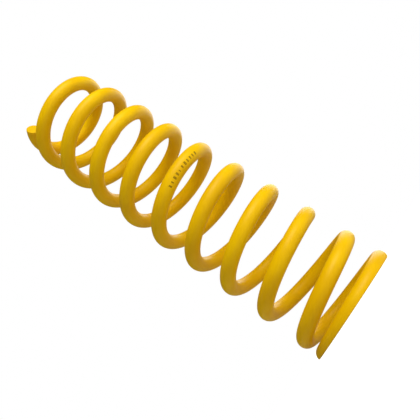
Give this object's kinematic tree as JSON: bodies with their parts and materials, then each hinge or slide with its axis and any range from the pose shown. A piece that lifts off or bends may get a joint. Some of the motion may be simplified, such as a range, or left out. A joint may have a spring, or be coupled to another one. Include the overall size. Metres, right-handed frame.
{
  "type": "coil spring",
  "caption": "Cylindrical compression coil spring in round wire, closed and ground flat at the foot, drawn in at the top, shortening along its axis under load.",
  "frame": {"origin": "centre of the coil's axis on the plane of the ground lower end", "axes": "+Z along the coil's axis from the ground end to the drawn-in end, +X through the lower tip of the wire"},
  "size_m": [0.0864, 0.0864, 0.2958],
  "materials": {
    "powder_coat": "smooth semi-gloss yellow powder coat over spring steel"
  },
  "bodies": {
    "lower_end_coil": {"lower_end_coil_1": "powder_coat", "lower_end_coil_2": "powder_coat", "lower_end_coil_3": "powder_coat"},
    "coil_01_quarter_1": {"coil_01_quarter_1": "powder_coat"},
    "coil_01_quarter_2": {"coil_01_quarter_2": "powder_coat"},
    "coil_01_quarter_3": {"coil_01_quarter_3": "powder_coat"},
    "coil_01_quarter_4": {"coil_01_quarter_4": "powder_coat"},
    "coil_02_quarter_1": {"coil_02_quarter_1": "powder_coat"},
    "coil_02_quarter_2": {"coil_02_quarter_2": "powder_coat"},
    "coil_02_quarter_3": {"coil_02_quarter_3": "powder_coat"},
    "coil_02_quarter_4": {"coil_02_quarter_4": "powder_coat"},
    "coil_03_quarter_1": {"coil_03_quarter_1": "powder_coat"},
    "coil_03_quarter_2": {"coil_03_quarter_2": "powder_coat"},
    "coil_03_quarter_3": {"coil_03_quarter_3": "powder_coat"},
    "coil_03_quarter_4": {"coil_03_quarter_4": "powder_coat"},
    "coil_04_quarter_1": {"coil_04_quarter_1": "powder_coat"},
    "coil_04_quarter_2": {"coil_04_quarter_2": "powder_coat"},
    "coil_04_quarter_3": {"coil_04_quarter_3": "powder_coat"},
    "coil_04_quarter_4": {"coil_04_quarter_4": "powder_coat"},
    "coil_05_quarter_1": {"coil_05_quarter_1": "powder_coat"},
    "coil_05_quarter_2": {"coil_05_quarter_2": "powder_coat"},
    "coil_05_quarter_3": {"coil_05_quarter_3": "powder_coat"},
    "coil_05_quarter_4": {"coil_05_quarter_4": "powder_coat"},
    "coil_06_quarter_1": {"coil_06_quarter_1": "powder_coat"},
    "coil_06_quarter_2": {"coil_06_quarter_2": "powder_coat"},
    "coil_06_quarter_3": {"coil_06_quarter_3": "powder_coat"},
    "coil_06_quarter_4": {"coil_06_quarter_4": "powder_coat"},
    "coil_07_quarter_1": {"coil_07_quarter_1": "powder_coat"},
    "coil_07_quarter_2": {"coil_07_quarter_2": "powder_coat"},
    "coil_07_quarter_3": {"coil_07_quarter_3": "powder_coat"},
    "coil_07_quarter_4": {"coil_07_quarter_4": "powder_coat"},
    "coil_08_quarter_1": {"coil_08_quarter_1": "powder_coat"},
    "coil_08_quarter_2": {"coil_08_quarter_2": "powder_coat"},
    "coil_08_quarter_3": {"coil_08_quarter_3": "powder_coat"},
    "coil_08_quarter_4": {"coil_08_quarter_4": "powder_coat"},
    "coil_09_quarter_1": {"coil_09_quarter_1": "powder_coat"},
    "coil_09_quarter_2": {"coil_09_quarter_2": "powder_coat"},
    "coil_09_quarter_3": {"coil_09_quarter_3": "powder_coat"},
    "upper_end_coil": {"upper_end_coil_1": "powder_coat", "upper_end_coil_2": "powder_coat"}
  },
  "joints": [
    {"name": "compress_coil_01_quarter_1", "type": "slide", "parent": "lower_end_coil", "child": "coil_01_quarter_1", "axis": [0, 0, -1], "range_m": [0, 0.00123], "stiffness_N_per_m": 300000},
    {"name": "compress_coil_01_quarter_2", "type": "slide", "parent": "coil_01_quarter_1", "child": "coil_01_quarter_2", "axis": [0, 0, -1], "range_m": [0, 0.00123], "stiffness_N_per_m": 300000},
    {"name": "compression", "type": "slide", "parent": "coil_01_quarter_2", "child": "coil_01_quarter_3", "axis": [0, 0, -1], "range_m": [0, 0.0041], "stiffness_N_per_m": 300000},
    {"name": "compress_coil_01_quarter_4", "type": "slide", "parent": "coil_01_quarter_3", "child": "coil_01_quarter_4", "axis": [0, 0, -1], "range_m": [0, 0.0041], "stiffness_N_per_m": 300000},
    {"name": "compress_coil_02_quarter_1", "type": "slide", "parent": "coil_01_quarter_4", "child": "coil_02_quarter_1", "axis": [0, 0, -1], "range_m": [0, 0.0041], "stiffness_N_per_m": 300000},
    {"name": "compress_coil_02_quarter_2", "type": "slide", "parent": "coil_02_quarter_1", "child": "coil_02_quarter_2", "axis": [0, 0, -1], "range_m": [0, 0.0041], "stiffness_N_per_m": 300000},
    {"name": "compress_coil_02_quarter_3", "type": "slide", "parent": "coil_02_quarter_2", "child": "coil_02_quarter_3", "axis": [0, 0, -1], "range_m": [0, 0.0041], "stiffness_N_per_m": 300000},
    {"name": "compress_coil_02_quarter_4", "type": "slide", "parent": "coil_02_quarter_3", "child": "coil_02_quarter_4", "axis": [0, 0, -1], "range_m": [0, 0.0041], "stiffness_N_per_m": 300000},
    {"name": "compress_coil_03_quarter_1", "type": "slide", "parent": "coil_02_quarter_4", "child": "coil_03_quarter_1", "axis": [0, 0, -1], "range_m": [0, 0.0041], "stiffness_N_per_m": 300000},
    {"name": "compress_coil_03_quarter_2", "type": "slide", "parent": "coil_03_quarter_1", "child": "coil_03_quarter_2", "axis": [0, 0, -1], "range_m": [0, 0.0041], "stiffness_N_per_m": 300000},
    {"name": "compress_coil_03_quarter_3", "type": "slide", "parent": "coil_03_quarter_2", "child": "coil_03_quarter_3", "axis": [0, 0, -1], "range_m": [0, 0.0041], "stiffness_N_per_m": 300000},
    {"name": "compress_coil_03_quarter_4", "type": "slide", "parent": "coil_03_quarter_3", "child": "coil_03_quarter_4", "axis": [0, 0, -1], "range_m": [0, 0.0041], "stiffness_N_per_m": 300000},
    {"name": "compress_coil_04_quarter_1", "type": "slide", "parent": "coil_03_quarter_4", "child": "coil_04_quarter_1", "axis": [0, 0, -1], "range_m": [0, 0.0041], "stiffness_N_per_m": 300000},
    {"name": "compress_coil_04_quarter_2", "type": "slide", "parent": "coil_04_quarter_1", "child": "coil_04_quarter_2", "axis": [0, 0, -1], "range_m": [0, 0.0041], "stiffness_N_per_m": 300000},
    {"name": "compress_coil_04_quarter_3", "type": "slide", "parent": "coil_04_quarter_2", "child": "coil_04_quarter_3", "axis": [0, 0, -1], "range_m": [0, 0.0041], "stiffness_N_per_m": 300000},
    {"name": "compress_coil_04_quarter_4", "type": "slide", "parent": "coil_04_quarter_3", "child": "coil_04_quarter_4", "axis": [0, 0, -1], "range_m": [0, 0.0041], "stiffness_N_per_m": 300000},
    {"name": "compress_coil_05_quarter_1", "type": "slide", "parent": "coil_04_quarter_4", "child": "coil_05_quarter_1", "axis": [0, 0, -1], "range_m": [0, 0.0041], "stiffness_N_per_m": 300000},
    {"name": "compress_coil_05_quarter_2", "type": "slide", "parent": "coil_05_quarter_1", "child": "coil_05_quarter_2", "axis": [0, 0, -1], "range_m": [0, 0.0041], "stiffness_N_per_m": 300000},
    {"name": "compress_coil_05_quarter_3", "type": "slide", "parent": "coil_05_quarter_2", "child": "coil_05_quarter_3", "axis": [0, 0, -1], "range_m": [0, 0.0041], "stiffness_N_per_m": 300000},
    {"name": "compress_coil_05_quarter_4", "type": "slide", "parent": "coil_05_quarter_3", "child": "coil_05_quarter_4", "axis": [0, 0, -1], "range_m": [0, 0.0041], "stiffness_N_per_m": 300000},
    {"name": "compress_coil_06_quarter_1", "type": "slide", "parent": "coil_05_quarter_4", "child": "coil_06_quarter_1", "axis": [0, 0, -1], "range_m": [0, 0.0041], "stiffness_N_per_m": 300000},
    {"name": "compress_coil_06_quarter_2", "type": "slide", "parent": "coil_06_quarter_1", "child": "coil_06_quarter_2", "axis": [0, 0, -1], "range_m": [0, 0.0041], "stiffness_N_per_m": 300000},
    {"name": "compress_coil_06_quarter_3", "type": "slide", "parent": "coil_06_quarter_2", "child": "coil_06_quarter_3", "axis": [0, 0, -1], "range_m": [0, 0.0041], "stiffness_N_per_m": 300000},
    {"name": "compress_coil_06_quarter_4", "type": "slide", "parent": "coil_06_quarter_3", "child": "coil_06_quarter_4", "axis": [0, 0, -1], "range_m": [0, 0.0041], "stiffness_N_per_m": 300000},
    {"name": "compress_coil_07_quarter_1", "type": "slide", "parent": "coil_06_quarter_4", "child": "coil_07_quarter_1", "axis": [0, 0, -1], "range_m": [0, 0.0041], "stiffness_N_per_m": 300000},
    {"name": "compress_coil_07_quarter_2", "type": "slide", "parent": "coil_07_quarter_1", "child": "coil_07_quarter_2", "axis": [0, 0, -1], "range_m": [0, 0.0041], "stiffness_N_per_m": 300000},
    {"name": "compress_coil_07_quarter_3", "type": "slide", "parent": "coil_07_quarter_2", "child": "coil_07_quarter_3", "axis": [0, 0, -1], "range_m": [0, 0.0041], "stiffness_N_per_m": 300000},
    {"name": "compress_coil_07_quarter_4", "type": "slide", "parent": "coil_07_quarter_3", "child": "coil_07_quarter_4", "axis": [0, 0, -1], "range_m": [0, 0.0041], "stiffness_N_per_m": 300000},
    {"name": "compress_coil_08_quarter_1", "type": "slide", "parent": "coil_07_quarter_4", "child": "coil_08_quarter_1", "axis": [0, 0, -1], "range_m": [0, 0.0041], "stiffness_N_per_m": 300000},
    {"name": "compress_coil_08_quarter_2", "type": "slide", "parent": "coil_08_quarter_1", "child": "coil_08_quarter_2", "axis": [0, 0, -1], "range_m": [0, 0.0041], "stiffness_N_per_m": 300000},
    {"name": "compress_coil_08_quarter_3", "type": "slide", "parent": "coil_08_quarter_2", "child": "coil_08_quarter_3", "axis": [0, 0, -1], "range_m": [0, 0.0041], "stiffness_N_per_m": 300000},
    {"name": "compress_coil_08_quarter_4", "type": "slide", "parent": "coil_08_quarter_3", "child": "coil_08_quarter_4", "axis": [0, 0, -1], "range_m": [0, 0.0041], "stiffness_N_per_m": 300000},
    {"name": "compress_coil_09_quarter_1", "type": "slide", "parent": "coil_08_quarter_4", "child": "coil_09_quarter_1", "axis": [0, 0, -1], "range_m": [0, 0.0041], "stiffness_N_per_m": 300000},
    {"name": "compress_coil_09_quarter_2", "type": "slide", "parent": "coil_09_quarter_1", "child": "coil_09_quarter_2", "axis": [0, 0, -1], "range_m": [0, 0.00195], "stiffness_N_per_m": 300000},
    {"name": "compress_coil_09_quarter_3", "type": "slide", "parent": "coil_09_quarter_2", "child": "coil_09_quarter_3", "axis": [0, 0, -1], "range_m": [0, 0.00195], "stiffness_N_per_m": 300000},
    {"name": "compress_upper_end_coil", "type": "slide", "parent": "coil_09_quarter_3", "child": "upper_end_coil", "axis": [0, 0, -1], "range_m": [0, 0.00195], "stiffness_N_per_m": 300000}
  ],
  "couplings": [
    {"joint": "compress_coil_01_quarter_1", "follows": "compression", "ratio": 0.3},
    {"joint": "compress_coil_01_quarter_2", "follows": "compression", "ratio": 0.3},
    {"joint": "compress_coil_01_quarter_4", "follows": "compression", "ratio": 1},
    {"joint": "compress_coil_02_quarter_1", "follows": "compression", "ratio": 1},
    {"joint": "compress_coil_02_quarter_2", "follows": "compression", "ratio": 1},
    {"joint": "compress_coil_02_quarter_3", "follows": "compression", "ratio": 1},
    {"joint": "compress_coil_02_quarter_4", "follows": "compression", "ratio": 1},
    {"joint": "compress_coil_03_quarter_1", "follows": "compression", "ratio": 1},
    {"joint": "compress_coil_03_quarter_2", "follows": "compression", "ratio": 1},
    {"joint": "compress_coil_03_quarter_3", "follows": "compression", "ratio": 1},
    {"joint": "compress_coil_03_quarter_4", "follows": "compression", "ratio": 1},
    {"joint": "compress_coil_04_quarter_1", "follows": "compression", "ratio": 1},
    {"joint": "compress_coil_04_quarter_2", "follows": "compression", "ratio": 1},
    {"joint": "compress_coil_04_quarter_3", "follows": "compression", "ratio": 1},
    {"joint": "compress_coil_04_quarter_4", "follows": "compression", "ratio": 1},
    {"joint": "compress_coil_05_quarter_1", "follows": "compression", "ratio": 1},
    {"joint": "compress_coil_05_quarter_2", "follows": "compression", "ratio": 1},
    {"joint": "compress_coil_05_quarter_3", "follows": "compression", "ratio": 1},
    {"joint": "compress_coil_05_quarter_4", "follows": "compression", "ratio": 1},
    {"joint": "compress_coil_06_quarter_1", "follows": "compression", "ratio": 1},
    {"joint": "compress_coil_06_quarter_2", "follows": "compression", "ratio": 1},
    {"joint": "compress_coil_06_quarter_3", "follows": "compression", "ratio": 1},
    {"joint": "compress_coil_06_quarter_4", "follows": "compression", "ratio": 1},
    {"joint": "compress_coil_07_quarter_1", "follows": "compression", "ratio": 1},
    {"joint": "compress_coil_07_quarter_2", "follows": "compression", "ratio": 1},
    {"joint": "compress_coil_07_quarter_3", "follows": "compression", "ratio": 1},
    {"joint": "compress_coil_07_quarter_4", "follows": "compression", "ratio": 1},
    {"joint": "compress_coil_08_quarter_1", "follows": "compression", "ratio": 1},
    {"joint": "compress_coil_08_quarter_2", "follows": "compression", "ratio": 1},
    {"joint": "compress_coil_08_quarter_3", "follows": "compression", "ratio": 1},
    {"joint": "compress_coil_08_quarter_4", "follows": "compression", "ratio": 1},
    {"joint": "compress_coil_09_quarter_1", "follows": "compression", "ratio": 1},
    {"joint": "compress_coil_09_quarter_2", "follows": "compression", "ratio": 0.475},
    {"joint": "compress_coil_09_quarter_3", "follows": "compression", "ratio": 0.475},
    {"joint": "compress_upper_end_coil", "follows": "compression", "ratio": 0.475}
  ]
}
